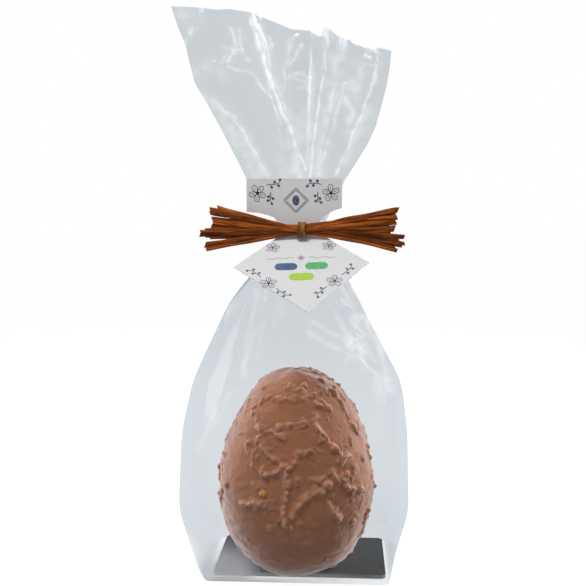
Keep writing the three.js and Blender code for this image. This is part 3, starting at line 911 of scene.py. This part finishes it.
def make_bow(look):
    """Flat strips of bark, gathered in the middle and fanned out in clusters at both ends, in one mesh."""
    random = np.random.default_rng(8)
    points, faces = [], []
    values = {"along": [], "across": [], "tone": []}
    steps = np.linspace(-1, 1, 41)
    turns = 2 * np.pi * np.arange(10) / 10
    for ends in zip(cluster_ends(LEFT_ENDS, -1, random), cluster_ends(RIGHT_ENDS, 1, random)):
        angle = 2 * np.pi * random.random()
        packed = GATHERED * np.sqrt(random.random())
        middle = np.array((0, packed * np.cos(angle), packed * np.sin(angle)))
        width = random.uniform(*STRIP_WIDTHS, 2)
        roll = random.uniform(-STRIP_ROLL, STRIP_ROLL, 2)
        bend = random.uniform(-1.0, 1.0, 2)
        wave = random.uniform(0, 2 * np.pi, 2)
        tone = random.random()
        first = len(points)
        for step in steps:
            share = abs(step)
            end = int(step > 0)
            centre = mix(middle, ends[end], share)
            centre[2] += bend[end] * np.sin(np.pi * share)
            centre[1] += 0.35 * share * np.sin(11 * share + wave[end])
            half = mix(0.9, width[end] / 2, share ** 0.7) * (1 + 0.14 * np.sin(13 * step + wave[0]))
            turn = roll[end] * share + 0.25 * share * np.sin(8 * share + wave[1])
            for angle in turns:
                flat_y = STRIP_HALF_THICK * np.sin(angle) + 0.55 * share * np.cos(angle) ** 2
                flat_z = half * np.cos(angle)
                y = flat_y * np.cos(turn) - flat_z * np.sin(turn)
                z = flat_y * np.sin(turn) + flat_z * np.cos(turn)
                slant = 0.35 * flat_z * (share > 0.99) * np.sign(wave[end] - np.pi)
                points.append(np.array(BOW_MIDDLE) + centre + (slant, y, z))
                values["along"].append(step * BOW_HALF)
                values["across"].append(flat_z)
                values["tone"].append(tone)
        last = len(points) - len(turns)
        faces += [tuple(first + i for i in face) for face in ring_faces(len(steps), len(turns))]
        faces.append(tuple(first + i for i in reversed(range(len(turns)))))
        faces.append(tuple(last + i for i in range(len(turns))))
    piece = mesh_piece("bow_strips", points, faces, look, "bow")
    for name, numbers in values.items():
        set_attribute(piece, name, numbers)
    return piece


def make_tie(look):
    """Turns of flat fibre round the bundle, and a wire loop round the label and the gathered film."""
    points, faces = [], []
    values = {"along": [], "across": [], "tone": []}
    count = 48
    turns = 2 * np.pi * np.arange(count) / count
    around = 2 * np.pi * np.arange(8) / 8
    for wrap in range(TIE_WRAPS):
        shift = (wrap - (TIE_WRAPS - 1) / 2) * TIE_WIDTH / TIE_WRAPS
        first = len(points)
        for turn in turns:
            out = np.array((0, np.cos(turn), np.sin(turn)))
            lean = 0.35 * np.sin(turn + wrap)
            for angle in around:
                radius = TIE_RADIUS + 0.3 * np.sin(angle) + 0.08 * np.sin(5 * turn + 3 * wrap)
                across = 0.62 * TIE_WIDTH / TIE_WRAPS * np.cos(angle)
                points.append(np.array(BOW_MIDDLE) + radius * out + (shift + lean + across, 0, 0))
                values["along"].append(TIE_RADIUS * turn)
                values["across"].append(across)
                values["tone"].append(wrap / TIE_WRAPS)
        faces += close_tube(first, count, len(around))
    first = len(points)
    for turn in turns:
        middle_x = LOOP_HALF[0] * signed_power(np.cos(turn), LOOP_POWER) + LOOP_MIDDLE[0]
        middle_y = LOOP_HALF[1] * signed_power(np.sin(turn), LOOP_POWER) + LOOP_MIDDLE[1]
        out = np.array((np.cos(turn), np.sin(turn), 0))
        for angle in around:
            place = np.array((middle_x, middle_y, BOW_MIDDLE[2])) + LOOP_WIRE * np.cos(angle) * out
            points.append(place + (0, 0, LOOP_WIRE * np.sin(angle)))
            values["along"].append(20 * turn)
            values["across"].append(np.cos(angle))
            values["tone"].append(0.2)
    faces += close_tube(first, count, len(around))
    piece = mesh_piece("tie_fibre", points, faces, look, "tie")
    for name, numbers in values.items():
        set_attribute(piece, name, numbers)
    return piece


def close_tube(first, rows, columns):
    """Faces of a tube that closes on itself both ways."""
    faces = [tuple(first + i for i in face) for face in ring_faces(rows, columns)]
    last = (rows - 1) * columns
    for i in range(columns):
        j = (i + 1) % columns
        faces.append(tuple(first + k for k in (last + i, last + j, j, i)))
    return faces


# The studio


def make_stage():
    """A wide pale floor."""
    mesh = bpy.data.meshes.new("floor")
    work = bmesh.new()
    bmesh.ops.create_circle(work, cap_ends=True, segments=96, radius=40)
    work.to_mesh(mesh)
    work.free()
    floor = bpy.data.objects.new("floor", mesh)
    floor.location.z = -0.0003
    floor.visible_glossy = False
    bpy.context.scene.collection.objects.link(floor)
    look, shader = new_look("floor")
    shader.inputs["Base Color"].default_value = (0.4, 0.4, 0.4, 1)
    shader.inputs["Roughness"].default_value = 0.9
    seen = add_node(look, "ShaderNodeBsdfDiffuse", {"Color": (0.1, 0.1, 0.1, 1)})
    glow = add_node(look, "ShaderNodeEmission", {"Strength": 0.955})
    white = add_node(look, "ShaderNodeAddShader")
    join(look, seen.outputs["BSDF"], white.inputs[0])
    join(look, glow.outputs["Emission"], white.inputs[1])
    both = add_node(look, "ShaderNodeMixShader")
    join(look, add_node(look, "ShaderNodeLightPath").outputs["Is Camera Ray"], both.inputs["Fac"])
    join(look, shader.outputs["BSDF"], both.inputs[1])
    join(look, white.outputs["Shader"], both.inputs[2])
    join(look, both.outputs["Shader"], look.node_tree.nodes["Material Output"].inputs["Surface"])
    mesh.materials.append(look)


def make_world():
    """White behind the object, a dimmer light all round, and a ring of light for reflections alone."""
    world = bpy.data.worlds.new("studio")
    bpy.context.scene.world = world
    world.use_nodes = True
    nodes, links = world.node_tree.nodes, world.node_tree.links
    place = nodes.new("ShaderNodeTexCoord")
    sides = nodes.new("ShaderNodeSeparateXYZ")
    links.new(place.outputs["Generated"], sides.inputs["Vector"])
    across = nodes.new("ShaderNodeMapRange")
    across.inputs["From Min"].default_value = -1
    across.inputs["To Min"].default_value = SURROUND_LEFT
    across.inputs["To Max"].default_value = SURROUND_RIGHT
    links.new(sides.outputs["X"], across.inputs["Value"])
    ring = nodes.new("ShaderNodeMapRange")
    ring.interpolation_type = "SMOOTHSTEP"
    ring.inputs["From Min"].default_value = RING_REACH
    ring.inputs["From Max"].default_value = 0
    ring.inputs["To Max"].default_value = RING_STRENGTH
    depth = nodes.new("ShaderNodeMath")
    depth.operation = "ABSOLUTE"
    links.new(sides.outputs["Y"], depth.inputs[0])
    links.new(depth.outputs[0], ring.inputs["Value"])
    above = nodes.new("ShaderNodeMapRange")
    above.interpolation_type = "SMOOTHSTEP"
    above.inputs["To Max"].default_value = 1
    above.inputs["From Min"].default_value = RING_LOWEST
    above.inputs["From Max"].default_value = RING_WHOLE
    links.new(sides.outputs["Z"], above.inputs["Value"])
    behind = nodes.new("ShaderNodeMapRange")
    behind.interpolation_type = "SMOOTHSTEP"
    behind.inputs["From Min"].default_value = 0.1
    behind.inputs["From Max"].default_value = 0.7
    behind.inputs["To Max"].default_value = BEHIND_STRENGTH
    links.new(sides.outputs["Y"], behind.inputs["Value"])
    mirrored = nodes.new("ShaderNodeMath")
    mirrored.operation = "MULTIPLY_ADD"
    links.new(ring.outputs["Result"], mirrored.inputs[0])
    links.new(above.outputs["Result"], mirrored.inputs[1])
    links.new(behind.outputs["Result"], mirrored.inputs[2])
    path = nodes.new("ShaderNodeLightPath")
    total = nodes.new("ShaderNodeMath")
    total.operation = "MULTIPLY_ADD"
    links.new(mirrored.outputs[0], total.inputs[0])
    links.new(path.outputs["Is Glossy Ray"], total.inputs[1])
    links.new(across.outputs["Result"], total.inputs[2])
    surround = nodes["Background"]
    surround.inputs["Color"].default_value = (0.95, 0.97, 1.0, 1)
    links.new(total.outputs[0], surround.inputs["Strength"])
    backdrop = nodes.new("ShaderNodeBackground")
    backdrop.inputs["Color"].default_value = (1, 1, 1, 1)
    backdrop.inputs["Strength"].default_value = 1.0
    both = nodes.new("ShaderNodeMixShader")
    links.new(path.outputs["Is Camera Ray"], both.inputs["Fac"])
    links.new(surround.outputs["Background"], both.inputs[1])
    links.new(backdrop.outputs["Background"], both.inputs[2])
    links.new(both.outputs["Shader"], nodes["World Output"].inputs["Surface"])


def add_softbox(name, place, target, size, radiance):
    """A soft rectangular light that does not mirror in glossy surfaces."""
    data = bpy.data.lights.new(name, "AREA")
    data.shape = "RECTANGLE"
    data.size, data.size_y = size
    data.energy = radiance * math.pi * size[0] * size[1]
    light = bpy.data.objects.new(name, data)
    light.location = place
    light.rotation_euler = (Vector(target) - Vector(place)).to_track_quat("-Z", "Y").to_euler()
    light.visible_glossy = False
    bpy.context.scene.collection.objects.link(light)


def make_lights():
    for light in LIGHTS:
        add_softbox(*light)


def make_camera():
    data = bpy.data.cameras.new("camera")
    data.sensor_width = SENSOR
    data.lens = FOCAL_PIXELS / FRAME_PIXELS * SENSOR
    data.clip_start = 0.01
    camera = bpy.data.objects.new("camera", data)
    camera.location = Vector(CAMERA_PLACE) * MM
    camera.rotation_euler = (math.radians(90 + CAMERA_PITCH), 0, math.radians(CAMERA_TURN))
    bpy.context.scene.collection.objects.link(camera)
    bpy.context.scene.camera = camera


def dress_node(name, look):
    """Give a solid that stays as it is a better material."""
    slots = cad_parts[name].data.materials
    slots.clear()
    slots.append(look)


make_camera()
make_stage()
make_world()
make_lights()
bpy.context.scene.view_settings.view_transform = "Standard"

make_egg(chocolate_look())
make_film()
make_bow(fibre_look("bark", (0.055, 0.011, 0.002), (0.24, 0.056, 0.007), (0.46, 0.15, 0.028), 0.7))
make_print()
dress_node("base_card", card_look())
dress_node("label", paper_look())
make_tie(fibre_look("wire", (0.10, 0.035, 0.008), (0.22, 0.095, 0.025), (0.38, 0.19, 0.06), 0.55))
